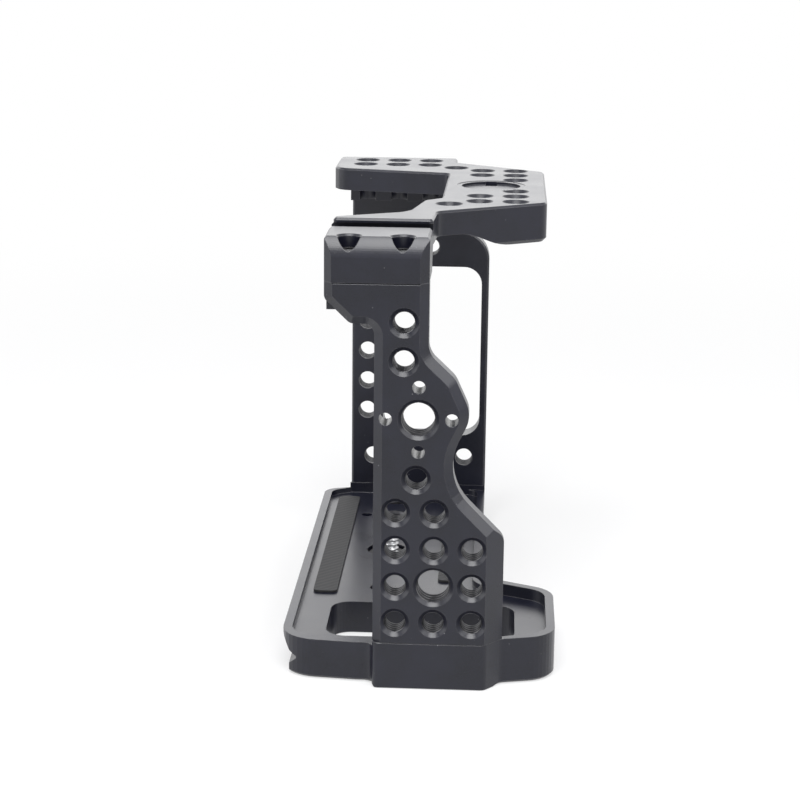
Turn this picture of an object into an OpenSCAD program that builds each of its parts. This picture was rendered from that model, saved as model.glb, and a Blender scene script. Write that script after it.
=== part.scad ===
// Camera cage: a base, a top plate and two side columns screwed together round a camera body.
// Millimetres. +Z is up, z = 0 is the underside, -Y is the lens side.
// X = 0, Y = 0 is the axis of the camera screw. The grip side is at -X and the port side at +X.

/* [Overall] */
// Height from the underside to the top face
cage_h = 106.4; // [105.4:0.2:114]
// Screw axis to the outer face of the grip-side column
grip_reach = 78; // [77:0.5:86]
// Screw axis to the outer face of the port-side column
port_reach = 59; // [58:0.5:66]

/* [Thread grid] */
// Distance from hole to hole in the grids
hole_pitch = 8.8; // [8.6:0.05:9]
// Bore of a 1/4-20 tapped hole
small_tap_d = 5.1; // [5:0.05:5.3]
// Mouth of the countersink on a 1/4-20 hole
small_sink_d = 6.9; // [6.4:0.1:7.4]
// Bore of a 3/8-16 tapped hole
large_tap_d = 7.94; // [7.8:0.02:8.1]
// Mouth of the countersink on a 3/8-16 hole
large_sink_d = 9.5; // [9:0.1:10]
// Bore of the plain locating holes round a 3/8-16 hole
locating_d = 3; // [2.8:0.1:3.2]
// Distance of the locating holes from the 3/8-16 hole
locating_reach = 7.5; // [7:0.1:8]

/* [Columns] */
// Thickness of both side columns
column_t = 6.5; // [6:0.1:7.5]
// Bevel along the outer edges of the columns
edge_bevel = 2; // [1:0.1:2.4]
// Height of the base where the columns stand on it
foot_h = 11; // [10.6:0.1:12]
// Height of the 3/8-16 hole with locating holes in the grip-side column
rosette_h = 64.3; // [63:0.1:65]
// Depth of the thickened head of the grip-side column
head_t = 12; // [10:0.5:16]
// Height of the port opening above the foot
port_window_h = 49.5; // [40:0.5:52]
// Length of the port opening
port_window_w = 27.9; // [20:0.1:28.5]

/* [Top plate] */
// Thickness of the arms of the top plate
arm_t = 5.9; // [5.2:0.1:7]
// Thickness of the nose of the top plate
nose_t = 9.6; // [8:0.1:10.5]
// Drop from the top face to the end blocks
ledge_drop = 1.1; // [1:0.1:1.4]
// Height of the end blocks, from the seam to the top face of the plate
block_h = 11.2; // [11:0.1:12]
// Fall of the curved bevel on the outer edge of the end blocks
crown_fall = 4.4; // [3:0.1:5]
// Diameter of the shallow round recess in the nose
recess_d = 15; // [12:0.5:16]
// Depth of the round recess
recess_depth = 0.8; // [0.6:0.1:2]

/* [Base] */
// Thickness of the base under the camera
floor_t = 8; // [7.8:0.1:9]
// Height of the rim behind the camera
rear_rim_h = 9.5; // [9.2:0.1:10.4]
// Width of the quick-release dovetail across its lower lips
dovetail_w = 38.1; // [37.8:0.1:38.4]
// Length of the battery door opening
battery_w = 24; // [18:0.5:26]
// Thickness of the rubber pads under the camera
pad_t = 0.6; // [0.4:0.1:0.8]

/* [Camera screw] */
// Outer diameter of the 1/4-20 thread
screw_d = 6.35; // [6.2:0.05:6.4]
// Height of the thread above the pads
screw_rise = 4.6; // [4:0.1:5.4]
// Diameter of the screw head
screw_head_d = 13; // [12:0.1:13.4]
// Wire of the folding ring
ring_wire_d = 1.6; // [1.2:0.1:1.8]

/* [Fasteners] */
// Shank of the cap screws
cap_shank_d = 2.5; // [2:0.1:3]
// Head of the cap screws
cap_head_d = 4.5; // [4:0.1:4.8]
// Counterbore for the cap screws
counterbore_d = 5.1; // [4.9:0.05:5.4]
// Diameter of the locating dowels
dowel_d = 2; // [1.5:0.1:2.2]

/* [Hidden] */
$fn = 48;

anodised = [0.20, 0.20, 0.23];
steel = [0.55, 0.56, 0.58];
black_steel = [0.12, 0.12, 0.13];
rubber = [0.07, 0.07, 0.07];

// Clearances: slip is radial between a screw or dowel and its hole, run is round a turning piece
slip = 0.05;
run = 0.08;
over = 1;

// Faces and levels that several pieces share
grip_face = -grip_reach;
grip_inner = grip_face + column_t;
port_face = port_reach;
port_inner = port_face - column_t;
seam_h = cage_h - block_h;
block_top = cage_h - ledge_drop;
arm_under = cage_h - arm_t;
nose_under = cage_h - nose_t;

// Lines along Y, as seen from the grip side
column_rear = -1;
column_front = -31;
neck_front = -13.2;
head_rear = 10.3;
port_front = -25.4;
port_rear = 13.5;
port_neck_front = -13.8;
base_rear = 20.9;
lobe_front = -43.5;

// Cap screws and dowels
cap_head_h = 2.5;
counterbore_rim = 0.45;
top_seat = block_top - 5.3;
top_screw_len = 8;
foot_seat = 4;
foot_screw_len = 12;
dowel_len = 6;
socket_d = 2;
grip_screw_x = grip_face + 3;
grip_dowel_x = grip_face + 8.6;
port_screw_x = port_face - 3;
foot_screw_inset = 3.4;
grip_top_screw_y = [4.8, -7.2];
grip_foot_screw_y = [-10.6, -19.4];
grip_top_dowel_y = [4.8, -7.2];
grip_foot_dowel_y = [-2.9, -27.4];
port_top_screw_y = [-9, 9];
port_top_dowel_y = [-3, 3];
port_foot_screw_y = [-14, 6];
port_foot_dowel_y = [-20, 11];

// Holes of the grip-side column, as [y, z]
grid_y = -15;
grid_z = foot_h + 5;
grip_grid = [for (row = [0:3], col = [-1:1])
    if (!(row == 2 && col == 0) && !(row == 3 && col == 1))
        [grid_y - col * hole_pitch, grid_z + row_of(row) * hole_pitch]];
grip_large_low = [grid_y, grid_z + hole_pitch];
rosette = [-11.2, rosette_h];
grip_singles = [
    [rosette[0] + 0.4, rosette_h - 14],
    [-7.7, seam_h - hole_pitch],
    [-7.7, seam_h - 2 * hole_pitch]
];

// Rows of the grid from the foot up: the row with the large hole is the second
function row_of(row) = row == 0 ? 0 : row == 1 ? 2 : row == 2 ? 1 : 3;

// Corner rounding: each corner is [x, y, radius]
function unit(v) = v / norm(v);
function flat(c) = [c[0], c[1]];
function turn(a, b) = a[0] * b[1] - a[1] * b[0];
function left_of(v) = [-v[1], v[0]];
function corner_arc(a, p, b, steps) =
    p[2] <= 0 ? [flat(p)] :
    let (
        u = unit(flat(a) - flat(p)),
        v = unit(flat(b) - flat(p)),
        half = acos(max(-1, min(1, u * v))) / 2,
        centre = flat(p) + unit(u + v) * p[2] / sin(half),
        first = flat(p) + u * p[2] / tan(half) - centre,
        side = turn(u, v) < 0 ? 1 : -1
    )
    [for (k = [0:steps])
        let (t = side * (180 - 2 * half) * k / steps)
        centre + [first[0] * cos(t) - first[1] * sin(t), first[0] * sin(t) + first[1] * cos(t)]];
function rounded(path, steps = 9) =
    let (n = len(path))
    [for (i = [0:n - 1]) each corner_arc(path[(i + n - 1) % n], path[i], path[(i + 1) % n], steps)];

// The same path moved inwards by a bevel, with its radii kept concentric
function inset_path(path, d) =
    let (n = len(path))
    [for (i = [0:n - 1])
        let (
            p = flat(path[i]),
            before = unit(p - flat(path[(i + n - 1) % n])),
            after = unit(flat(path[(i + 1) % n]) - p),
            n1 = left_of(before),
            n2 = left_of(after),
            q = p + (n1 + n2) * d / (1 + n1 * n2),
            r = path[i][2],
            inner = r <= 0 ? 0 : max(0.05, turn(before, after) > 0 ? r - d : r + d)
        )
        [q[0], q[1], inner]];

// The strip that a bevel takes off one edge of a plate: rise is 1 for the upper edge, -1 for the lower
module edge_strip(path, z, bevel, rise) {
    spare = 0.3;
    outer = rounded(inset_path(path, -spare));
    inner = rounded(inset_path(path, bevel + spare));
    n = len(outer);
    points = concat(
        [for (p = outer) [p[0], p[1], z - rise * (bevel + spare)]],
        [for (p = inner) [p[0], p[1], z + rise * spare]],
        [for (p = outer) [p[0], p[1], z + rise * spare]]
    );
    walls = [for (k = [0:2], i = [0:n - 1])
        let (a = k * n, b = (k + 1) % 3 * n, j = (i + 1) % n)
        each rise > 0
            ? [[a + i, a + j, b + j], [a + i, b + j, b + i]]
            : [[a + i, b + j, a + j], [a + i, b + i, b + j]]];
    polyhedron(points = points, faces = walls);
}

// A plate of the given outline from z0 to z1 with a bevel on its lower and upper edge
module slab(path, z0, z1, low = 0, high = 0) {
    difference() {
        prism(path, z0, z1);
        if (low > 0)
            edge_strip(path, z0, low, -1);
        if (high > 0)
            edge_strip(path, z1, high, 1);
    }
}

// A plain prism of the given outline
module prism(path, z0, z1) {
    translate([0, 0, z0])
        linear_extrude(z1 - z0)
            polygon(rounded(path));
}

// Turns a shape drawn in [y, z, x] to stand in the side planes
module upright() {
    rotate([90, 0, 90])
        children();
}

module box(low, high) {
    translate(low)
        cube(high - low);
}

// A countersunk hole along local +Z from a face at z = 0 that looks towards -Z
module tapped(d, sink_d, depth) {
    sink = (sink_d - d) / 2;
    translate([0, 0, -over])
        cylinder(d = d, h = depth + 2 * over);
    translate([0, 0, -over])
        cylinder(d1 = sink_d + 2 * over, d2 = d, h = sink + over);
}

module small_tapped(depth) {
    tapped(small_tap_d, small_sink_d, depth);
}

module large_tapped(depth) {
    tapped(large_tap_d, large_sink_d, depth);
}

// A 3/8-16 hole with four locating holes round it
module rosette_holes(depth) {
    large_tapped(depth);
    for (a = [0:90:270])
        rotate(a)
            translate([locating_reach, 0, -over])
                cylinder(d = locating_d, h = depth + 2 * over, $fn = 32);
}

// Holes drilled into the grip face, into the port face, up from below and down from the top
module from_grip(y, z) {
    translate([grip_face, y, z])
        rotate([0, 90, 0])
            children();
}

module from_port(y, z) {
    translate([port_face, y, z])
        rotate([0, -90, 0])
            children();
}

module from_top(x, y, z = cage_h) {
    translate([x, y, z])
        rotate([180, 0, 0])
            children();
}

module shaft(x, y, z0, z1, d) {
    translate([x, y, z0])
        cylinder(d = d, h = z1 - z0, $fn = 32);
}

// A socket cap screw with its head seated at z = 0 and its shank along +Z
module cap_screw(length) {
    difference() {
        union() {
            translate([0, 0, -cap_head_h])
                cylinder(d = cap_head_d, h = cap_head_h);
            translate([0, 0, -over / 2])
                cylinder(d = cap_shank_d, h = length + over / 2, $fn = 32);
        }
        translate([0, 0, -cap_head_h - over])
            cylinder(d = socket_d / cos(30), h = over + 1.6, $fn = 6);
    }
}

module cap_screws_down(x, ys) {
    for (y = ys)
        from_top(x, y, top_seat)
            cap_screw(top_screw_len);
}

module cap_screws_up(x, ys) {
    for (y = ys)
        translate([x, y, foot_seat])
            cap_screw(foot_screw_len);
}

module dowels(x, ys, seam) {
    for (y = ys)
        shaft(x, y, seam - dowel_len / 2, seam + dowel_len / 2, dowel_d);
}

// The holes that those screws and dowels pass through or bottom in
module screw_holes_down(x, ys) {
    for (y = ys) {
        shaft(x, y, top_seat - top_screw_len - 0.3, top_seat + over, cap_shank_d + 2 * slip);
        translate([x, y, top_seat])
            cylinder(d = counterbore_d, h = block_h);
        translate([x, y, block_top - counterbore_rim])
            cylinder(d1 = counterbore_d, d2 = counterbore_d + 2 * (counterbore_rim + over), h = counterbore_rim + over);
    }
}

module screw_holes_up(x, ys) {
    for (y = ys) {
        shaft(x, y, foot_seat - over, foot_seat + foot_screw_len + 0.3, cap_shank_d + 2 * slip);
        translate([x, y, -over])
            cylinder(d = counterbore_d, h = foot_seat + over);
    }
}

module dowel_holes(x, ys, seam) {
    for (y = ys)
        shaft(x, y, seam - dowel_len / 2 - 0.2, seam + dowel_len / 2 + 0.2, dowel_d + 2 * slip);
}

// ---- Side columns ----

// An outline carried on past the seams, so that the bevel along it leaves the seams sharp
function past_seams(path, by) =
    [for (c = path) [c[0], c[1] >= seam_h ? c[1] + by : c[1] <= foot_h ? c[1] - by : c[1], c[2]]];

module column_plate(path, x0, x1, low, high) {
    long = past_seams(path, 5);
    upright()
        difference() {
            prism(path, x0, x1);
            edge_strip(long, x0, low, -1);
            edge_strip(long, x1, high, 1);
        }
}

// The small chamfer that shows as a bright line along a seam of the grip face
module seam_chamfer(z, size) {
    rotate([90, 0, 0])
        linear_extrude(100, center = true)
            polygon([
                [grip_face - over, z - size - over],
                [grip_face + size + over, z + over],
                [grip_face - over, z + over]
            ]);
}

// ---- Grip-side column ----

// Front edge of the column: it swells round the large hole and widens to the foot
grip_outline = [
    [column_front, foot_h, 0],
    [column_rear, foot_h, 0],
    [column_rear, seam_h - 9.5, 2.5],
    [4.5, seam_h - 9.5, 2],
    [head_rear, seam_h - 3.9, 2],
    [head_rear, seam_h, 0],
    [neck_front, seam_h, 0],
    [neck_front, rosette_h + 14.9, 5],
    [rosette[0] - 8.1, rosette_h + 9.1, 6],
    [rosette[0] - 12.0, rosette_h + 0.6, 6.8],
    [rosette[0] - 5.1, rosette_h - 13.5, 13],
    [column_front, rosette_h - 28.4, 4]
];

// The wide bevel down the lower front edge, shared with the foot
lower_bevel_y = 4;
lower_bevel_x = 4.9;
module lower_front_bevel(top) {
    translate([0, 0, -over])
        linear_extrude(top + over)
            polygon([
                [grip_face - over, column_front + lower_bevel_y + over * lower_bevel_y / lower_bevel_x],
                [grip_face - over, column_front - over],
                [grip_face + lower_bevel_x + over * lower_bevel_x / lower_bevel_y, column_front - over]
            ]);
}

module grip_side_column() {
    color(anodised)
    difference() {
        union() {
            column_plate(grip_outline, grip_face, grip_inner, edge_bevel, 0.5);
            box([grip_face + edge_bevel + 0.5, neck_front + 0.5, seam_h - 6.5],
                [grip_face + head_t, head_rear - 0.5, seam_h]);
        }
        lower_front_bevel(rosette_h - 22);
        column_gusset();
        seam_chamfer(seam_h, 0.3);
        for (hole = grip_grid)
            from_grip(hole[0], hole[1])
                small_tapped(column_t);
        for (hole = grip_singles)
            from_grip(hole[0], hole[1])
                small_tapped(head_t);
        from_grip(grip_large_low[0], grip_large_low[1])
            large_tapped(column_t);
        from_grip(rosette[0], rosette[1])
            rosette_holes(column_t);
        screw_holes_down(grip_screw_x, grip_top_screw_y);
        dowel_holes(grip_dowel_x, grip_top_dowel_y, seam_h);
        screw_holes_up(grip_face + foot_screw_inset, grip_foot_screw_y);
        dowel_holes(grip_face + foot_screw_inset, grip_foot_dowel_y, foot_h);
    }
}

// The cove under the thickened head
module column_gusset() {
    cove_r = head_t - column_t;
    translate([grip_face + head_t, 0, seam_h - 6.5])
        rotate([90, 0, 0])
            cylinder(r = min(cove_r, 5), h = 60, center = true);
}

// ---- Port-side column ----

port_outline = [
    [port_front, foot_h, 0],
    [port_rear, foot_h, 0],
    [port_rear, seam_h, 0],
    [port_neck_front, seam_h, 0],
    [port_neck_front, seam_h - 9.7, 3],
    [port_front, seam_h - 9.7, 8]
];
port_window_front = port_front + 2;
port_window_low = foot_h + 15;
port_window = [
    [port_window_front, port_window_low, 5],
    [port_window_front + port_window_w, port_window_low, 5],
    [port_window_front + port_window_w, port_window_low + port_window_h, 5],
    [port_window_front, port_window_low + port_window_h, 5]
];
port_post_y = (port_window_front + port_window_w + port_rear) / 2;
port_post_holes = [for (row = [0:4])
    [port_post_y, port_window_low + port_window_h / 2 + (row - 2) * hole_pitch]];
port_low_holes = [for (col = [-1.5:1:1.5])
    [(port_front + port_rear) / 2 + col * hole_pitch, port_window_low - 6.5]];
port_head_holes = [for (col = [-1:1])
    [col * hole_pitch, seam_h - 14]];

module port_side_column() {
    color(anodised)
    difference() {
        column_plate(port_outline, port_inner, port_face, 0.5, min(edge_bevel, 1.2));
        upright()
            prism(port_window, port_inner - over, port_face + over);
        for (hole = concat(port_post_holes, port_low_holes, port_head_holes))
            from_port(hole[0], hole[1])
                small_tapped(column_t);
        screw_holes_down(port_screw_x, port_top_screw_y);
        dowel_holes(port_screw_x, port_top_dowel_y, seam_h);
        screw_holes_up(port_screw_x, port_foot_screw_y);
        dowel_holes(port_screw_x, port_foot_dowel_y, foot_h);
    }
}

// ---- Top plate ----

grip_arm_x = grip_face + 20.7;
port_arm_x = port_face - 6.3;
nose_front = -39.7;
arm_rear = 16.8;
plate_outline = [
    [grip_arm_x, neck_front, 1],
    [grip_arm_x + 12.3, neck_front - 0.55, 3.6],
    [-28.3, nose_front, 3.5],
    [27.6, nose_front, 3],
    [port_arm_x - 9, -15.9, 1],
    [port_arm_x, -15.9, 1],
    [port_arm_x, arm_rear, 2],
    [port_arm_x - 20.6, arm_rear, 4],
    [port_arm_x - 24.5, 15, 4],
    [21.5, -14.4, 2],
    [-23, -14, 2.5],
    [-27.4, -9.8, 4.5],
    [grip_arm_x + 13.8, -7.1, 6],
    [grip_arm_x + 10.7, -5, 5],
    [grip_arm_x + 2.8, 9.8, 1],
    [grip_arm_x, 9.8, 0.8]
];

// Holes of the top plate, as [x, y]
nose_y = -32.1;
nose_columns = [10.1, 10.1 + hole_pitch, 10.1 + 2 * hole_pitch];
nose_holes = [for (side = [-1, 1])
    each concat(
        [for (x = nose_columns) [side * x, nose_y]],
        [for (x = [nose_columns[1], nose_columns[2]]) [side * x, nose_y + hole_pitch]],
        [[side * (nose_columns[2] + 4.9), -16.1]]
    )];
port_arm_holes = [for (row = [0:1], col = [-1:1])
    [port_arm_x - 6.4 - row * hole_pitch, col * hole_pitch]];
recess_y = -25.8;

// Underside of the nose: it is thick at the front and rises in a smooth wave to the arms
module underside_wave() {
    wave_front = -31;
    wave_rear = -19;
    steps = 10;
    wave = [for (k = [0:steps])
        [wave_front + (wave_rear - wave_front) * k / steps,
         nose_under + (arm_under - nose_under) * (1 - cos(180 * k / steps)) / 2]];
    translate([grip_face - over, 0, 0])
        upright()
            linear_extrude(grip_reach + port_reach + 2 * over)
                polygon(concat(wave, [[60, arm_under], [60, nose_under - 5], [wave_front, nose_under - 5]]));
}

// Side view of an end block: a curved bevel falls from its top to its outer face
crown_w = 2.6;
crown_bulge = 0.4;
side_chamfer = 0.6;
module end_block(length, y0, y1) {
    steps = 10;
    height = block_top - seam_h;
    crown = [for (k = [0:steps])
        let (t = k / steps, lift = crown_bulge * 4 * t * (1 - t))
        [crown_w * t - lift * crown_fall / norm([crown_w, crown_fall]),
         height - crown_fall * (1 - t) + lift * crown_w / norm([crown_w, crown_fall])]];
    intersection() {
        translate([0, y1 + over, seam_h])
            rotate([90, 0, 0])
                linear_extrude(y1 - y0 + 2 * over)
                    polygon(concat([[length, 0], [0, 0]], [for (p = crown) [max(0, p[0]), p[1]]], [[length, height]]));
        translate([0, 0, seam_h])
            linear_extrude(height + over)
                polygon([
                    [length, y0], [length, y1], [edge_bevel, y1], [0, y1 - edge_bevel * 0.85],
                    [0, y0 + edge_bevel], [edge_bevel, y0]
                ]);
        translate([-over, 0, seam_h])
            upright()
                linear_extrude(length + 2 * over)
                    polygon([
                        [y0 - over, -over], [y1 + over, -over], [y1 + over, height - side_chamfer - over],
                        [y1 - side_chamfer, height], [y0 + side_chamfer, height], [y0 - over, height - side_chamfer - over]
                    ]);
    }
}

module plate_body() {
    difference() {
        slab(plate_outline, nose_under, cage_h, 0.9, 0.5);
        underside_wave();
    }
}

// The groove between the end block and the arm, which undercuts the lip of the arm
groove_x = grip_face + 15.4;
groove_floor = block_top - 1.6;
arm_lip_t = 1.05;
module arm_groove() {
    box([groove_x, neck_front - over, groove_floor], [grip_arm_x, head_rear + over, cage_h + over]);
    box([grip_arm_x - over, neck_front - over, groove_floor],
        [grip_arm_x + 1.2, head_rear + over, cage_h - arm_lip_t]);
}

module round_recess() {
    lip_w = 1.3;
    lip_depth = 0.12;
    notch_w = 2.9;
    translate([0, recess_y, cage_h - recess_depth])
        cylinder(d = recess_d, h = recess_depth + over, $fn = 96);
    translate([0, recess_y, cage_h - lip_depth])
        cylinder(d = recess_d + 2 * lip_w, h = lip_depth + over, $fn = 96);
    box([recess_d / 2 - 3, recess_y - notch_w / 2, cage_h - recess_depth - 1.4],
        [recess_d / 2 + 0.3, recess_y + notch_w / 2, cage_h + over]);
}

module top_plate() {
    grip_block_len = 22;
    port_block_len = 14;
    color(anodised)
    difference() {
        union() {
            plate_body();
            translate([grip_face, 0, 0])
                end_block(grip_block_len, neck_front, head_rear);
            translate([port_face, 0, 0])
                mirror([1, 0, 0])
                    end_block(port_block_len, port_neck_front, port_rear);
        }
        arm_groove();
        translate([grip_face + grip_block_len, 0, seam_h])
            rotate([90, 0, 0])
                cylinder(r = 5.4, h = 80, center = true);
        for (hole = concat(nose_holes, port_arm_holes))
            from_top(hole[0], hole[1])
                small_tapped(block_h);
        round_recess();
        screw_holes_down(grip_screw_x, grip_top_screw_y);
        dowel_holes(grip_dowel_x, grip_top_dowel_y, seam_h);
        screw_holes_down(port_screw_x, port_top_screw_y);
        dowel_holes(port_screw_x, port_top_dowel_y, seam_h);
    }
}

// ---- Base ----

base_near_x = grip_face + 4;
base_outline = [
    [base_near_x, column_rear, 2.4],
    [grip_face, column_rear, 1.5],
    [grip_face, column_front + lower_bevel_y, 2],
    [grip_face + lower_bevel_x - 0.2, column_front + 0.2, 2.5],
    [base_near_x + 4, lobe_front, 8],
    [-38, lobe_front, 8],
    [-29, port_front, 8],
    [port_face, port_front, 2],
    [port_face, port_rear, 2],
    [port_inner, port_rear, 1],
    [port_inner - 2, base_rear, 5],
    [base_near_x + 1.8, base_rear, 9],
    [base_near_x, 3, 0]
];
rim_w = 2.1;

// The bevel under the base passes the grip face by, so the foot stays square there
base_bevel_line = [for (c = base_outline) [c[0] == grip_face ? c[0] - 3 : c[0], c[1], c[2]]];
pocket_outline = [
    [grip_inner, 3, 0],
    [grip_inner, column_front, 0],
    [grip_inner + 3.6, lobe_front + rim_w, 6],
    [-39.2, lobe_front + rim_w, 6],
    [-30.5, port_front + rim_w, 8],
    [port_inner, port_front + rim_w, 3],
    [port_inner, port_rear, 0],
    [port_inner - 3.5, base_rear - rim_w, 4],
    [grip_inner + 1.9, base_rear - rim_w, 7]
];

// The dovetail groove, in [distance from the axis, height]
half_rail = dovetail_w / 2;
groove = [
    [half_rail, -over],
    [half_rail, 2.2],
    [half_rail - 1.8, 4.0],
    [half_rail - 1.8, 4.5],
    [half_rail, 5.4]
];
module rear_groove() {
    upright()
        translate([0, 0, grip_face - over])
            linear_extrude(grip_reach + port_reach + 2 * over)
                polygon(concat(groove, [[base_rear, 8.6], [base_rear + over, 8.6], [base_rear + over, -over]]));
}

module front_groove() {
    start = -31;
    upright()
        translate([0, 0, start])
            linear_extrude(port_reach - start + over)
                mirror([1, 0])
                    polygon(concat(groove, [[-port_front + over, 5.4], [-port_front + over, -over]]));
}

battery_x = grip_inner + 5.5;
battery_opening = [
    [battery_x, -34, 5],
    [battery_x + battery_w, -34, 5],
    [battery_x + battery_w, 11, 5],
    [battery_x, 11, 5]
];

// Tripod threads on the underside, all on the screw's own line
underside_x = [-3.5 * hole_pitch, -2 * hole_pitch, 2 * hole_pitch, 5 * hole_pitch];
underside_large_x = 3.5 * hole_pitch;

// The pocket for the head of the camera screw and the hole for its neck
head_pocket_d = 20;
head_pocket_depth = 4.8;
neck_d = screw_d - 0.95;
clip_seat = floor_t - 1.6;
clip_bore_d = 10.6;
module screw_pocket() {
    translate([0, 0, -over])
        cylinder(d = head_pocket_d, h = head_pocket_depth + over, $fn = 96);
    cylinder(d = screw_d + 0.4, h = floor_t + over);
    translate([0, 0, clip_seat])
        cylinder(d = clip_bore_d, h = floor_t);
}

module base_plate() {
    color(anodised)
    difference() {
        prism(base_outline, 0, foot_h);
        edge_strip(base_bevel_line, 0, 0.6, -1);
        seam_chamfer(foot_h, 0.2);
        prism(pocket_outline, floor_t, foot_h + over);
        box([grip_face - over, column_rear, rear_rim_h], [port_inner, base_rear + over, foot_h + over]);
        box([-33, port_front - over, rear_rim_h], [port_inner, column_rear + over, foot_h + over]);
        rear_groove();
        front_groove();
        prism(battery_opening, -over, floor_t + over);
        screw_pocket();
        for (x = underside_x)
            shaft(x, 0, -over, floor_t + over, small_tap_d);
        shaft(underside_large_x, 0, -over, floor_t + over, large_tap_d);
        for (side = [-1, 1])
            shaft(underside_large_x, side * locating_reach, -over, floor_t + over, locating_d);
        screw_holes_up(grip_face + foot_screw_inset, grip_foot_screw_y);
        dowel_holes(grip_face + foot_screw_inset, grip_foot_dowel_y, foot_h);
        screw_holes_up(port_screw_x, port_foot_screw_y);
        dowel_holes(port_screw_x, port_foot_dowel_y, foot_h);
    }
}

module pad_strip(x0, x1, y, width) {
    half = width / 2;
    prism([[x0, y - half, 1.5], [x1, y - half, 1.5], [x1, y + half, 1.5], [x0, y + half, 1.5]],
        floor_t, floor_t + pad_t);
}

pad_w = 6;
rear_pad_y = 13.5;
rear_pad_start = -36;
front_pad_y = -17.5;
front_pad_start = -26;
pad_end_gap = 6;
module base_pads() {
    color(rubber) {
        pad_strip(rear_pad_start, port_inner - pad_end_gap, rear_pad_y, pad_w);
        pad_strip(front_pad_start, port_inner - pad_end_gap, front_pad_y, pad_w);
    }
}

// ---- Camera screw ----

washer_t = 0.5;
washer_d = 12;
head_top = head_pocket_depth - washer_t - run;
screw_head_low = head_top - 3.3;
ring_h = screw_head_low + 1.7;
ring_r = screw_head_d / 2 + ring_wire_d / 2 + 0.75;
clip_t = 0.8;
clip_low = clip_seat + 0.1;

module camera_screw() {
    slot_w = 1.6;
    top = floor_t + pad_t + screw_rise;
    thread_low = clip_low + clip_t + 0.1;
    color(steel)
    difference() {
        union() {
            translate([0, 0, screw_head_low])
                cylinder(d = screw_head_d, h = head_top - screw_head_low);
            translate([0, 0, head_top - 0.1])
                cylinder(d = neck_d, h = thread_low - head_top + 0.2);
            translate([0, 0, thread_low])
                cylinder(d = screw_d, h = top - thread_low - 0.6);
            translate([0, 0, top - 0.6])
                cylinder(d1 = screw_d, d2 = screw_d - 1.2, h = 0.6);
        }
        box([-slot_w / 2, -screw_head_d, screw_head_low - over], [slot_w / 2, screw_head_d, screw_head_low + 1.4]);
        for (side = [0, 180])
            rotate(side)
                translate([screw_head_d / 2 - 2, 0, ring_h])
                    rotate([0, 90, 0])
                        cylinder(d = ring_wire_d + 2 * slip, h = 3, $fn = 32);
    }
}

module screw_washer() {
    color(rubber)
    translate([0, 0, head_top])
        difference() {
            cylinder(d = washer_d, h = washer_t);
            translate([0, 0, -over])
                cylinder(d = neck_d + 2 * slip, h = washer_t + 2 * over);
        }
}

// A spring clip in the neck, open on one side
module screw_clip() {
    color(black_steel)
    translate([0, 0, clip_low])
        difference() {
            cylinder(d = clip_bore_d - 1.2, h = clip_t);
            translate([0, 0, -over])
                cylinder(d = neck_d + 2 * slip, h = clip_t + 2 * over);
            box([0, -1.9, -over], [clip_bore_d, 1.9, clip_t + over]);
        }
}

// The ring lies round the head when folded and its two ends turn in the head
module screw_ring() {
    leg = ring_r - screw_head_d / 2 + 1.8;
    color(steel)
    translate([0, 0, ring_h]) {
        rotate_extrude(angle = 180, $fn = 96)
            translate([ring_r, 0])
                circle(d = ring_wire_d, $fn = 24);
        for (side = [0, 180])
            rotate(side) {
                translate([ring_r, 0, 0])
                    sphere(d = ring_wire_d, $fn = 24);
                translate([ring_r - leg, 0, 0])
                    rotate([0, 90, 0])
                        cylinder(d = ring_wire_d, h = leg, $fn = 24);
            }
    }
}

// ---- Fasteners ----

module top_to_grip_screws() {
    color(black_steel) cap_screws_down(grip_screw_x, grip_top_screw_y);
}

module top_to_grip_dowels() {
    color(steel) dowels(grip_dowel_x, grip_top_dowel_y, seam_h);
}

module base_to_grip_screws() {
    color(black_steel) cap_screws_up(grip_face + foot_screw_inset, grip_foot_screw_y);
}

module base_to_grip_dowels() {
    color(steel) dowels(grip_face + foot_screw_inset, grip_foot_dowel_y, foot_h);
}

module top_to_port_screws() {
    color(black_steel) cap_screws_down(port_screw_x, port_top_screw_y);
}

module top_to_port_dowels() {
    color(steel) dowels(port_screw_x, port_top_dowel_y, seam_h);
}

module base_to_port_screws() {
    color(black_steel) cap_screws_up(port_screw_x, port_foot_screw_y);
}

module base_to_port_dowels() {
    color(steel) dowels(port_screw_x, port_foot_dowel_y, foot_h);
}

base_plate();
grip_side_column();
port_side_column();
top_plate();
base_pads();
camera_screw();
screw_washer();
screw_clip();
screw_ring();
top_to_grip_screws();
top_to_grip_dowels();
base_to_grip_screws();
base_to_grip_dowels();
top_to_port_screws();
top_to_port_dowels();
base_to_port_screws();
base_to_port_dowels();
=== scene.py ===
import math

import bmesh
import bpy
from mathutils import Matrix, Vector


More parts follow.
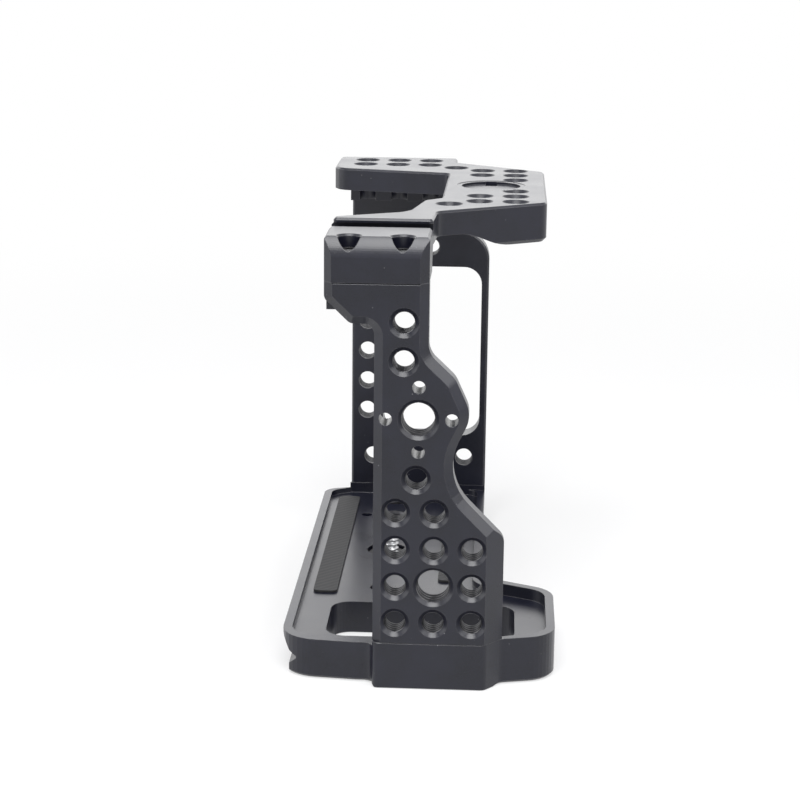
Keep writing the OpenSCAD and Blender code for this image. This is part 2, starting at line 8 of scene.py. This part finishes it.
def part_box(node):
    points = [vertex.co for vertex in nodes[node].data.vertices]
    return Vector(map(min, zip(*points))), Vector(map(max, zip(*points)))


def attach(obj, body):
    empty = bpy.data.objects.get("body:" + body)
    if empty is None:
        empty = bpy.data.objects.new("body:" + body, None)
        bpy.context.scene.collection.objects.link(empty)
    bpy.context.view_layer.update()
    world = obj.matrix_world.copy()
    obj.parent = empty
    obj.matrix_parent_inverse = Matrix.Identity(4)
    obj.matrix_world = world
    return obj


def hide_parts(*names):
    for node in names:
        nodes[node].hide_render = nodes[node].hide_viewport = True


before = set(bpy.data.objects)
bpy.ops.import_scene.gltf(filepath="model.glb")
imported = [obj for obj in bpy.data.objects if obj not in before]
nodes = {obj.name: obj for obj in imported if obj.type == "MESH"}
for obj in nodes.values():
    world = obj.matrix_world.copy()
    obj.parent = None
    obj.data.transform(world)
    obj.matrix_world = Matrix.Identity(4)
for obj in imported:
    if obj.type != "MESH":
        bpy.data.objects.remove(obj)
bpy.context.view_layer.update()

mm = 0.001
fullTurn = 2 * math.pi
print("frame loaded:", len(nodes), "nodes")


# Shader sockets as Python values

class Socket:
    def __init__(self, finish, output):
        self.finish = finish
        self.output = output

    def maths(self, operation, first, second):
        return self.finish.node("ShaderNodeMath", {"operation": operation},
                                {0: first, 1: second})

    def __add__(self, other):
        return self.maths("ADD", self, other)

    def __radd__(self, other):
        return self.maths("ADD", other, self)

    def __sub__(self, other):
        return self.maths("SUBTRACT", self, other)

    def __rsub__(self, other):
        return self.maths("SUBTRACT", other, self)

    def __mul__(self, other):
        return self.maths("MULTIPLY", self, other)

    def __rmul__(self, other):
        return self.maths("MULTIPLY", other, self)


class Finish:  # the node tree of a material or of the world
    def __init__(self, owner):
        owner.use_nodes = True
        self.owner = owner
        self.tree = owner.node_tree
        self.tree.nodes.clear()

    def feed(self, socket, value):
        if isinstance(value, Socket):
            self.tree.links.new(value.output, socket)
        else:
            socket.default_value = value

    def node(self, kind, settings=None, inputs=None, out=0):
        made = self.tree.nodes.new(kind)
        for key, value in (settings or {}).items():
            setattr(made, key, value)
        for key, value in (inputs or {}).items():
            self.feed(made.inputs[key], value)
        return Socket(self, made.outputs[out]) if made.outputs else made

    def place(self):  # metres in the object's own frame
        return self.node("ShaderNodeTexCoord", out="Object")

    def noise(self, grain, detail, roughness):  # grain is the blob size in metres
        return self.node("ShaderNodeTexNoise", {"noise_dimensions": "3D"}, {
            "Vector": self.place(), "Scale": 1 / grain, "Detail": detail, "Roughness": roughness})

    def between(self, value, low, high):  # 0 at low, 1 at high
        return self.node("ShaderNodeMapRange", {"interpolation_type": "SMOOTHSTEP"}, {
            "Value": value, "From Min": low, "From Max": high, "To Min": 0.0, "To Max": 1.0})

    def blend(self, share, first, second):
        return self.node("ShaderNodeMix", {"data_type": "RGBA"},
                         {0: share, 6: first, 7: second}, out=2)

    def vector(self, operation, first, second, out=0):
        return self.node("ShaderNodeVectorMath", {"operation": operation},
                         {0: first, 1: second}, out=out)

    def fromAxis(self):  # distance from the object's own Z axis
        flat = self.vector("MULTIPLY", self.place(), (1, 1, 0))
        return self.vector("LENGTH", flat, (0, 0, 0), out="Value")

    def softEdge(self, radius):  # normal with its edges rounded
        return self.node("ShaderNodeBevel", {"samples": 6}, {"Radius": radius})

    def edgeLight(self, rounded):  # 0 on a flat face, more where an edge turns
        flat = self.node("ShaderNodeNewGeometry", out="Normal")
        return 1 - self.vector("DOT_PRODUCT", rounded, flat, out="Value")

    def bump(self, height, distance, strength, normal):
        return self.node("ShaderNodeBump", {}, {
            "Height": height, "Distance": distance, "Strength": strength, "Normal": normal})

    def surface(self, **inputs):
        names = {key.replace("_", " "): value for key, value in inputs.items()}
        shader = self.node("ShaderNodeBsdfPrincipled", {}, names)
        self.node("ShaderNodeOutputMaterial", {}, {"Surface": shader})
        return self.owner


def newFinish(name):
    return Finish(bpy.data.materials.new(name))


# Finishes

anodisedLook = {
    "dark": (0.0040, 0.0046, 0.0105, 1), "light": (0.0074, 0.0082, 0.0176, 1),
    # edge is the colour of a painted highlight laid along the rounded edges
    "edge": (0.150, 0.148, 0.155, 1), "edgeRadius": 0.20 * mm, "edgeHighlightShare": 0.75,
    "dust": (0.14, 0.14, 0.15, 1), "dustGrain": 0.50 * mm,
    "cloudGrain": 9 * mm, "peelGrain": 0.9 * mm,
    "blastGrain": 0.16 * mm, "blastDepth": 0.005 * mm, "roughness": 0.31,
}


def anodisedFinish():
    look = anodisedLook
    f = newFinish("black anodised")
    rounded = f.softEdge(look["edgeRadius"])
    # painted highlight: mask of the edges, where the rounded normal turns away from the face
    edge = f.between(f.edgeLight(rounded), 0.02, 0.20)
    cloud = f.noise(look["cloudGrain"], 3.0, 0.6)
    blast = f.noise(look["blastGrain"], 2.0, 0.6)
    peel = f.noise(look["peelGrain"], 3.0, 0.55)
    mottle = f.between(cloud * 0.6 + blast * 0.4, 0.35, 0.65)
    tone = f.blend(mottle, look["dark"], look["light"])
    # painted highlight: a light grey blended into the colour along every edge
    tone = f.blend(edge * look["edgeHighlightShare"], tone, look["edge"])
    speck = f.between(f.noise(look["dustGrain"], 0.0, 0.5), 0.87, 0.90)  # the odd grain of dust
    tone = f.blend(speck, tone, look["dust"])
    shine = look["roughness"] + (cloud - 0.5) * 0.10 + (blast - 0.5) * 0.16 - edge * 0.08
    normal = f.bump(blast * 0.7 + peel * 0.3, look["blastDepth"], 0.9, rounded)
    return f.surface(Base_Color=tone, Roughness=shine, Metallic=0.0, IOR=1.50, Normal=normal)


# the lighter crest colour of the threads is partly wear and partly a painted highlight
threadLook = {
    "dark": (0.022, 0.022, 0.027, 1), "wornAndHighlight": (0.22, 0.22, 0.235, 1), "edgeRadius": 0.08 * mm,
    "grain": 0.25 * mm, "grainDepth": 0.006 * mm, "roughness": 0.27, "metal": 0.55,
}


def threadFinish():  # cut threads, lighter in colour on their crests, partly wear and partly a painted highlight
    look = threadLook
    f = newFinish("cut thread")
    rounded = f.softEdge(look["edgeRadius"])
    crest = f.between(f.edgeLight(rounded), 0.01, 0.12)
    grain = f.noise(look["grain"], 3.0, 0.6)
    # partly wear, partly a painted highlight: the crests are blended towards the lighter colour
    tone = f.blend(crest * 0.6 + grain * 0.25, look["dark"], look["wornAndHighlight"])
    normal = f.bump(grain, look["grainDepth"], 0.8, rounded)
    return f.surface(Base_Color=tone, Roughness=look["roughness"] + grain * 0.12,
                     Metallic=look["metal"], Normal=normal)


steelLook = {
    "dark": (0.36, 0.365, 0.38, 1), "light": (0.60, 0.60, 0.61, 1), "edgeRadius": 0.12 * mm,
    "ringsPerMetre": 9000.0, "ringDepth": 0.004 * mm, "smear": 1.6 * mm, "roughness": 0.20,
}


def steelFinish():  # turned on a lathe: fine rings round its own axis
    look = steelLook
    f = newFinish("turned steel")
    rounded = f.softEdge(look["edgeRadius"])
    rings = f.node("ShaderNodeTexNoise", {"noise_dimensions": "1D"}, {
        "W": f.fromAxis(), "Scale": look["ringsPerMetre"], "Detail": 2.0})
    smear = f.noise(look["smear"], 3.0, 0.6)
    tone = f.blend(rings * 0.5 + smear * 0.5, look["dark"], look["light"])
    normal = f.bump(rings, look["ringDepth"], 0.7, rounded)
    return f.surface(Base_Color=tone, Roughness=look["roughness"] + smear * 0.16 + rings * 0.06,
                     Metallic=1.0, Normal=normal)


blackSteelLook = {
    "dark": (0.016, 0.016, 0.018, 1), "wornAndHighlight": (0.12, 0.12, 0.125, 1), "edgeRadius": 0.10 * mm,
    "grain": 0.35 * mm, "grainDepth": 0.006 * mm, "blotch": 2.2 * mm,
    "roughness": 0.34, "metal": 0.6,
}


def blackSteelFinish():  # black oxide over steel, worn on its edges
    look = blackSteelLook
    f = newFinish("black oxide steel")
    rounded = f.softEdge(look["edgeRadius"])
    edge = f.between(f.edgeLight(rounded), 0.02, 0.16)
    grain = f.noise(look["grain"], 3.0, 0.6)
    blotch = f.noise(look["blotch"], 2.0, 0.5)
    tone = f.blend(edge * 0.5 + blotch * 0.2, look["dark"], look["wornAndHighlight"])
    normal = f.bump(grain, look["grainDepth"], 0.8, rounded)
    return f.surface(Base_Color=tone, Roughness=look["roughness"] + grain * 0.14,
                     Metallic=look["metal"], Normal=normal)


rubberLook = {
    "dark": (0.012, 0.012, 0.013, 1), "light": (0.030, 0.030, 0.032, 1), "edgeRadius": 0.15 * mm,
    "ribScale": 260.0, "ribDepth": 0.05 * mm, "grain": 0.2 * mm, "roughness": 0.62,
}


def rubberFinish():  # matt silicone with a fine slanting rib
    look = rubberLook
    f = newFinish("silicone rubber")
    ribs = f.node("ShaderNodeTexWave", {"wave_type": "BANDS", "bands_direction": "DIAGONAL"}, {
        "Vector": f.place(), "Scale": look["ribScale"], "Distortion": 0.0, "Detail": 0.0})
    grain = f.noise(look["grain"], 3.0, 0.7)
    tone = f.blend(grain * 0.6 + ribs * 0.3, look["dark"], look["light"])
    rounded = f.softEdge(look["edgeRadius"])
    normal = f.bump(ribs * 0.8 + grain * 0.2, look["ribDepth"], 0.8, rounded)
    return f.surface(Base_Color=tone, Roughness=look["roughness"] + grain * 0.2,
                     Metallic=0.0, Normal=normal)


nylonLook = {
    "dark": (0.60, 0.58, 0.52, 1), "light": (0.74, 0.72, 0.66, 1), "edgeRadius": 0.08 * mm,
    "grain": 0.3 * mm, "grainDepth": 0.01 * mm, "roughness": 0.42,
}


def nylonFinish():
    look = nylonLook
    f = newFinish("natural nylon")
    grain = f.noise(look["grain"], 3.0, 0.6)
    tone = f.blend(grain, look["dark"], look["light"])
    normal = f.bump(grain, look["grainDepth"], 0.6, f.softEdge(look["edgeRadius"]))
    return f.surface(Base_Color=tone, Roughness=look["roughness"] + grain * 0.15,
                     Metallic=0.0, Normal=normal)


anodised = anodisedFinish()
cutThread = threadFinish()
turnedSteel = steelFinish()
blackSteel = blackSteelFinish()
rubber = rubberFinish()
nylon = nylonFinish()

nodeFinish = {
    "base_plate": anodised, "grip_side_column": anodised, "port_side_column": anodised,
    "top_plate": anodised, "base_pads": rubber, "screw_washer": nylon, "screw_clip": blackSteel,
    "screw_ring": turnedSteel, "camera_screw": turnedSteel,
}
for name, node in nodes.items():
    chosen = nodeFinish.get(name, turnedSteel if "dowels" in name else blackSteel)
    node.data.materials.clear()
    node.data.materials.append(chosen)
print("finishes made:", len(bpy.data.materials))


# Mesh helpers

def looseObject(name, mesh):
    data = bpy.data.meshes.new(name)
    bmesh.ops.recalc_face_normals(mesh, faces=mesh.faces)
    mesh.to_mesh(data)
    mesh.free()
    made = bpy.data.objects.new(name, data)
    bpy.context.scene.collection.objects.link(made)
    return made


def pieceFrom(name, mesh, body, material, smooth=40):
    piece = looseObject(name, mesh)
    piece.data.materials.append(material)
    piece.data.shade_smooth()
    piece.data.set_sharp_from_angle(angle=math.radians(smooth))
    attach(piece, body)
    return piece


def subtract(target, cutter):
    modifier = target.modifiers.new("cut", "BOOLEAN")
    modifier.operation = "DIFFERENCE"
    modifier.solver = "EXACT"
    modifier.object = cutter
    bpy.context.view_layer.update()
    cut = target.evaluated_get(bpy.context.evaluated_depsgraph_get())
    result = bpy.data.meshes.new_from_object(cut)
    target.modifiers.clear()
    target.data = result
    bpy.data.objects.remove(cutter)


def axisFrame(origin, direction):  # local +Z runs along direction from origin
    turn = Vector((0, 0, 1)).rotation_difference(Vector(direction)).to_matrix().to_4x4()
    return Matrix.Translation(origin) @ turn


def sweptWall(mesh, place, rows, around):  # rows of (depth, radius of share), closed into a ring
    loops = []
    for depth, radius in rows:
        loops.append([mesh.verts.new(place @ Vector((
            radius(k / around) * math.cos(fullTurn * k / around),
            radius(k / around) * math.sin(fullTurn * k / around), depth))) for k in range(around)])
    for a, b in zip(loops, loops[1:] + loops[:1]):
        for k in range(around):
            n = (k + 1) % around
            mesh.faces.new((a[k], a[n], b[n], b[k]))


# Radii for sweptWall, as functions of the share of a turn

onAxis = 0.02 * mm  # where a turned shape closes


def plain(radius):
    return lambda share: radius


def toothed(radius, depth, teeth):
    return lambda share: radius - depth * (0.5 - 0.5 * math.cos(fullTurn * share * teeth))


def hexagon(cornerRadius):
    def at(share):
        angle = (share * 6 % 1 - 0.5) * math.pi / 3
        return cornerRadius * math.cos(math.pi / 6) / math.cos(angle)
    return at


def threadShape(turns):  # 0 in the root and 1 on the crest of a 60 degree thread
    phase = turns % 1
    return min(1, max(0, 1.25 - abs(phase - 0.5) * 3.2))


def easeIn(value, low, high):
    t = min(1, max(0, (value - low) / (high - low)))
    return t * t * (3 - 2 * t)


# Threads in the tapped holes

threadSizes = {
    "quarter": {
        "bore": 2.55 * mm, "sink": 3.45 * mm, "pitch": 1.27 * mm, "ridge": 0.22 * mm},
    "threeEighths": {
        "bore": 3.97 * mm, "sink": 4.75 * mm, "pitch": 1.5875 * mm, "ridge": 0.30 * mm},
}
threadCut = {
    "rowsPerPitch": 6, "around": 28, "skin": 0.12 * mm, "clear": 0.015 * mm,
    "belowSink": 0.06 * mm, "shortOfEnd": 0.12 * mm, "leadIn": 0.35 * mm, "leadOut": 0.5 * mm,
}


def cutThreadIn(mesh, origin, direction, depth, sizeName, sunk):
    size = threadSizes[sizeName]
    bore, pitch, ridge = size["bore"], size["pitch"], size["ridge"]
    wall = bore - threadCut["clear"]
    start = (size["sink"] - bore if sunk else 0) + threadCut["belowSink"]
    end = depth - threadCut["shortOfEnd"]

    def innerAt(d):
        grow = (ridge * easeIn(d, start, start + threadCut["leadIn"])
                * easeIn(-d, -end, threadCut["leadOut"] - end))
        return lambda share: wall - grow * threadShape(d / pitch + share)

    count = math.ceil((end - start) / pitch * threadCut["rowsPerPitch"])
    depths = [start + (end - start) * k / count for k in range(count + 1)]
    rows = [(d, innerAt(d)) for d in depths]
    rows += [(d, plain(wall + threadCut["skin"])) for d in (end, start)]
    sweptWall(mesh, axisFrame(origin, direction), rows, threadCut["around"])


def threadsPiece(name, holes):  # holes of (origin, direction, depth, size name, sunk)
    mesh = bmesh.new()
    for origin, direction, depth, sizeName, sunk in holes:
        cutThreadIn(mesh, Vector(origin), direction, depth, sizeName, sunk)
    pieceFrom(name, mesh, "frame", cutThread)
    print(name, "cut in", len(holes), "holes")


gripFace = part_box("grip_side_column")[0].x
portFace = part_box("port_side_column")[1].x
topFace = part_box("top_plate")[1].z
gridPitch = 8.8  # in millimetres, like the places in the patterns below
columnDepth = 6.5 * mm

gripPattern = {
    "firstY": -15, "firstZ": 16,
    "small": [(-1, 0), (0, 0), (1, 0), (-1, 1), (1, 1), (-1, 2), (0, 2), (1, 2), (0, 3), (-1, 3)],
    "large": [(0, 1)],
    "single": [(-10.8, 50.3), (-7.7, 77.6), (-7.7, 86.4)], "rosette": [(-11.2, 64.3)],
}


def gripHoles(places, sizeName):
    return [((gripFace, y * mm, z * mm), (1, 0, 0), columnDepth, sizeName, True)
            for y, z in places]


def onGripGrid(steps):  # steps across and up the grid
    return [(gripPattern["firstY"] - across * gridPitch, gripPattern["firstZ"] + up * gridPitch)
            for across, up in steps]


threadsPiece("grip_column_threads",
             gripHoles(onGripGrid(gripPattern["small"]), "quarter")
             + gripHoles(onGripGrid(gripPattern["large"]), "threeEighths")
             + gripHoles(gripPattern["single"], "quarter")
             + gripHoles(gripPattern["rosette"], "threeEighths"))

portPattern = {
    "post": {"first": (9.0, 33.15), "step": (0, gridPitch), "count": 5},
    "low": {"first": (-19.15, 19.5), "step": (gridPitch, 0), "count": 4},
    "head": {"first": (-8.8, 81.2), "step": (gridPitch, 0), "count": 3},
}
portHoles = []
for row in portPattern.values():
    for k in range(row["count"]):
        y, z = (first + step * k for first, step in zip(row["first"], row["step"]))
        portHoles.append(((portFace, y * mm, z * mm), (-1, 0, 0), columnDepth, "quarter", True))
threadsPiece("port_column_threads", portHoles)

topPattern = {
    "front": {"y": -32.1, "mirroredX": [10.1, 18.9, 27.7], "depth": 9.6},
    "second": {"y": -23.3, "mirroredX": [18.9, 27.7], "depth": 7.2},
    "side": {"y": -16.1, "mirroredX": [32.6], "depth": 5.9},
    "portArm": {"xs": [46.3, 37.5], "ys": [-8.8, 0, 8.8], "depth": 5.9},
}
topPlaces = []
for rowName in ("front", "second", "side"):
    row = topPattern[rowName]
    topPlaces += [(side * x, row["y"], row["depth"])
                  for x in row["mirroredX"] for side in (-1, 1)]
arm = topPattern["portArm"]
topPlaces += [(x, y, arm["depth"]) for x in arm["xs"] for y in arm["ys"]]
threadsPiece("top_plate_threads", [
    ((x * mm, y * mm, topFace), (0, 0, -1), depth * mm, "quarter", True)
    for x, y, depth in topPlaces])

undersidePattern = {"quarter": [-30.8, -17.6, 17.6, 44.0], "threeEighths": [30.8]}
undersideDepth = 8.0 * mm
threadsPiece("base_threads", [
    ((x * mm, 0, 0), (0, 0, 1), undersideDepth, sizeName, False)
    for sizeName, xs in undersidePattern.items() for x in xs])


# Threaded shanks, for the cap screws and the camera screw

shankRowsPerPitch = 5
shankRunout = 0.8  # share of a pitch over which the thread dies out at the tip


def threadedShank(mesh, place, radius, pitch, ridge, start, end, around):
    count = math.ceil((end - start) / pitch * shankRowsPerPitch)

    def outerAt(d):
        drop = min(1, (end - d) / (pitch * shankRunout))
        return lambda share: radius - ridge * (1 - threadShape(d / pitch + share) * drop)

    depths = [start + (end - start) * k / count for k in range(count + 1)]
    rows = [(start, plain(onAxis))] + [(d, outerAt(d)) for d in depths] + [(end, plain(onAxis))]
    sweptWall(mesh, place, rows, around)


# Cap screws with a knurled head and a hexagon socket

capScrew = {
    "headR": 2.22 * mm, "headH": 2.5 * mm, "edge": 0.30 * mm, "foot": 0.25 * mm,
    "teeth": 28, "toothDepth": 0.09 * mm, "toothRun": 0.05 * mm,
    "socketR": 1.155 * mm, "socketRim": 0.12 * mm, "socketDepth": 1.4 * mm, "drillPoint": 0.45 * mm,
    "shankR": 1.25 * mm, "pitch": 0.45 * mm, "ridge": 0.2475 * mm, "intoHead": 0.3 * mm,
    "shankAround": 24,
}


def knurledHead(mesh, place):
    s = capScrew
    top, edge, foot, run = s["headH"], s["edge"], s["foot"], s["toothRun"]
    root = s["headR"] - s["toothDepth"]
    knurl = toothed(s["headR"], s["toothDepth"], s["teeth"])
    socket = hexagon(s["socketR"])
    rows = [(0, plain(onAxis)), (0, plain(root - foot)), (foot, plain(root)), (foot + run, knurl),
            (top - edge - run, knurl), (top - edge, plain(root)),
            (top - edge * 0.3, plain(root - edge * 0.7)), (top, plain(root - edge)),
            (top, hexagon(s["socketR"] + s["socketRim"])), (top - s["socketRim"], socket),
            (top - s["socketDepth"], socket),
            (top - s["socketDepth"] - s["drillPoint"], plain(onAxis))]
    sweptWall(mesh, place, rows, s["teeth"] * 4)


def capScrews(node, places):
    s = capScrew
    low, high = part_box(node)
    mesh = bmesh.new()
    for y in places["ys"]:
        seat = places["seat"] * mm
        reach = seat - low.z if places["up"] > 0 else high.z - seat
        middle = Vector((places["x"] * mm, y * mm, seat))
        knurledHead(mesh, axisFrame(middle, (0, 0, places["up"])))
        threadedShank(mesh, axisFrame(middle, (0, 0, -places["up"])), s["shankR"], s["pitch"],
                      s["ridge"], -s["intoHead"], reach, s["shankAround"])
    name = node.replace("_screws", "_cap_screws")
    piece = pieceFrom(name, mesh, "frame", blackSteel, smooth=35)
    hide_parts(node)


screwPlaces = {
    "top_to_grip_screws": {"x": -75.0, "ys": (4.8, -7.2), "seat": 100.0, "up": 1},
    "top_to_port_screws": {"x": 56.0, "ys": (-9.0, 9.0), "seat": 100.0, "up": 1},
    "base_to_grip_screws": {"x": -74.6, "ys": (-10.6, -19.4), "seat": 4.0, "up": -1},
    "base_to_port_screws": {"x": 56.0, "ys": (-14.0, 6.0), "seat": 4.0, "up": -1},
}
for node, places in screwPlaces.items():
    capScrews(node, places)
print("cap screws made")


# Camera screw: knurled head with a slot, plain neck and a quarter-inch thread

cameraScrew = {
    "headR": 6.5 * mm, "headLow": 0.92 * mm, "headTop": 4.22 * mm,
    "lowBevel": (0.75 * mm, 0.45 * mm), "topBevel": (0.7 * mm, 0.35 * mm),
    "teeth": 56, "toothDepth": 0.28 * mm, "toothRun": 0.05 * mm,
    "slotW": 1.6 * mm, "slotDepth": 1.4 * mm,
    "pinHoleR": 0.85 * mm, "pinHeight": 2.62 * mm, "pinIn": 4.5 * mm, "pinOut": 1 * mm,
    "neckR": 2.70 * mm, "neckFillet": 0.15 * mm, "threadLow": 7.4 * mm, "neckEnd": 0.1 * mm,
    "threadR": 3.175 * mm, "pitch": 1.27 * mm, "ridge": 0.62 * mm, "intoNeck": 0.2 * mm,
    "threadAround": 48,
}


def headCutter():  # the driver slot along Y and the two holes for the ring's ends
    s = cameraScrew
    mesh = bmesh.new()
    size = (s["slotW"], 4 * s["headR"], 2 * s["slotDepth"])
    slot = Matrix.Translation((0, 0, s["headLow"])) @ Matrix.Diagonal((*size, 1))
    bmesh.ops.create_cube(mesh, size=1, matrix=slot)
    alongX = Matrix.Rotation(math.pi / 2, 4, "Y")
    for side in (-1, 1):
        middle = side * ((s["pinIn"] + s["headR"]) / 2 + s["pinOut"])
        place = Matrix.Translation((middle, 0, s["pinHeight"])) @ alongX
        bmesh.ops.create_cone(mesh, cap_ends=True, segments=24,
                              radius1=s["pinHoleR"], radius2=s["pinHoleR"],
                              depth=s["headR"] - s["pinIn"] + 2 * s["pinOut"], matrix=place)
    return looseObject("head cutter", mesh)


def buildCameraScrew():
    s = cameraScrew
    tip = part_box("camera_screw")[1].z
    low, top, run = s["headLow"], s["headTop"], s["toothRun"]
    root = s["headR"] - s["toothDepth"]
    knurl = toothed(s["headR"], s["toothDepth"], s["teeth"])
    (lowIn, lowUp), (topIn, topDown) = s["lowBevel"], s["topBevel"]
    rows = [(low, plain(onAxis)), (low, plain(s["headR"] - lowIn)),
            (low + lowUp, plain(root)), (low + lowUp + run, knurl),
            (top - topDown - run, knurl), (top - topDown, plain(root)),
            (top, plain(s["headR"] - topIn)), (top, plain(s["neckR"] + s["neckFillet"])),
            (top + s["neckFillet"], plain(s["neckR"])), (s["threadLow"], plain(s["neckR"])),
            (s["threadLow"] + s["neckEnd"], plain(onAxis))]
    mesh = bmesh.new()
    sweptWall(mesh, Matrix.Identity(4), rows, s["teeth"] * 4)
    head = looseObject("head", mesh)
    subtract(head, headCutter())

    whole = bmesh.new()
    whole.from_mesh(head.data)
    bpy.data.objects.remove(head)
    threadedShank(whole, Matrix.Identity(4), s["threadR"], s["pitch"], s["ridge"],
                  s["threadLow"] - s["intoNeck"], tip, s["threadAround"])
    piece = pieceFrom("camera_screw_turned", whole, "camera_screw", turnedSteel,
                      smooth=35)
    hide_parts("camera_screw")


buildCameraScrew()
print("camera screw made")


# Floor, backdrop, lamps and camera

def paleRays(finish):  # rays that see the white surroundings: camera, glossy and transmission
    seen, glossy, through = (finish.node("ShaderNodeLightPath", out=name) for name in (
        "Is Camera Ray", "Is Glossy Ray", "Is Transmission Ray"))
    total = seen + glossy + through
    return total.maths("MINIMUM", total, 1.0)


studio = {
    "floorTones": ((0.84, 0.84, 0.85, 1), (0.86, 0.86, 0.87, 1)), "floorGrain": 40 * mm,
    "floorHalf": 6.0, "floorDrop": 0.0002, "floorRoughness": 0.8,
    "nearGlow": 0.60, "clearRing": (0.10, 0.55),  # the floor's own shade shows inside this ring
    "white": (1, 1, 1, 1), "sky": (0.96, 0.98, 1.0, 1), "ambient": 0.14,
}


def buildFloor():
    mesh = bmesh.new()
    bmesh.ops.create_grid(mesh, x_segments=1, y_segments=1, size=studio["floorHalf"])
    floor = looseObject("floor", mesh)
    floor.location.z = -studio["floorDrop"]
    f = newFinish("pale floor")
    tone = f.blend(f.noise(studio["floorGrain"], 2.0, 0.5), *studio["floorTones"])
    lit = f.node("ShaderNodeBsdfPrincipled", {}, {
        "Base Color": tone, "Roughness": studio["floorRoughness"]})
    glow = f.node("ShaderNodeEmission", {}, {"Color": studio["white"], "Strength": 1.0})
    outward = f.between(f.fromAxis(), *studio["clearRing"])
    share = paleRays(f) * (studio["nearGlow"] + (1 - studio["nearGlow"]) * outward)
    mixed = f.node("ShaderNodeMixShader", {}, {"Fac": share, 1: lit, 2: glow})
    f.node("ShaderNodeOutputMaterial", {}, {"Surface": mixed})
    floor.data.materials.append(f.owner)


def buildWorld():
    world = bpy.data.worlds.new("studio")
    bpy.context.scene.world = world
    f = Finish(world)
    dim = f.node("ShaderNodeBackground", {}, {
        "Color": studio["sky"], "Strength": studio["ambient"]})
    pale = f.node("ShaderNodeBackground", {}, {"Color": studio["white"], "Strength": 1.0})
    mixed = f.node("ShaderNodeMixShader", {}, {"Fac": paleRays(f), 1: dim, 2: pale})
    f.node("ShaderNodeOutputWorld", {}, {"Surface": mixed})


lampAim = (-0.01, -0.01, 0.06)
lamps = {
    "overhead": {"at": (-0.41, 0.00, 0.80), "size": (0.60, 0.58), "power": 8.8},
    "behind": {"at": (0.95, 0.10, 0.42), "size": (1.5, 0.55), "power": 3.2},
    "left": {"at": (-0.10, 0.85, 0.38), "size": (0.6, 0.7), "power": 2.8},
    "right": {"at": (-0.20, -0.68, 0.64), "size": (0.5, 0.62), "power": 2.8},
}


def buildLamps():
    for name, look in lamps.items():
        data = bpy.data.lights.new(name, "AREA")
        data.shape = "RECTANGLE"
        data.size, data.size_y = look["size"]
        data.energy = look["power"]
        lamp = bpy.data.objects.new(name, data)
        lamp.location = look["at"]
        away = Vector(lampAim) - Vector(look["at"])
        lamp.rotation_euler = away.to_track_quat("-Z", "Y").to_euler()
        lamp.visible_camera = False
        bpy.context.scene.collection.objects.link(lamp)


cameraSet = {
    "at": (-0.52230, -0.02941, 0.18028), "lens": 92.25, "sensor": 36.0, "clip": (0.01, 30),
    "right": (0.05289522, -0.99854953, 0.01004677), "up": (0.24213855, 0.02258588, 0.96997876),
    "back": (-0.96879875, -0.04887453, 0.24298202),
}


def buildCamera():
    data = bpy.data.cameras.new("view")
    data.lens, data.sensor_width = cameraSet["lens"], cameraSet["sensor"]
    data.clip_start, data.clip_end = cameraSet["clip"]
    camera = bpy.data.objects.new("view", data)
    turn = Matrix([cameraSet["right"], cameraSet["up"], cameraSet["back"]]).transposed()
    camera.matrix_world = Matrix.Translation(cameraSet["at"]) @ turn.to_4x4()
    bpy.context.scene.collection.objects.link(camera)
    bpy.context.scene.camera = camera


buildFloor()
buildWorld()
buildLamps()
buildCamera()
bpy.context.scene.view_settings.view_transform = "Standard"
print("studio set")
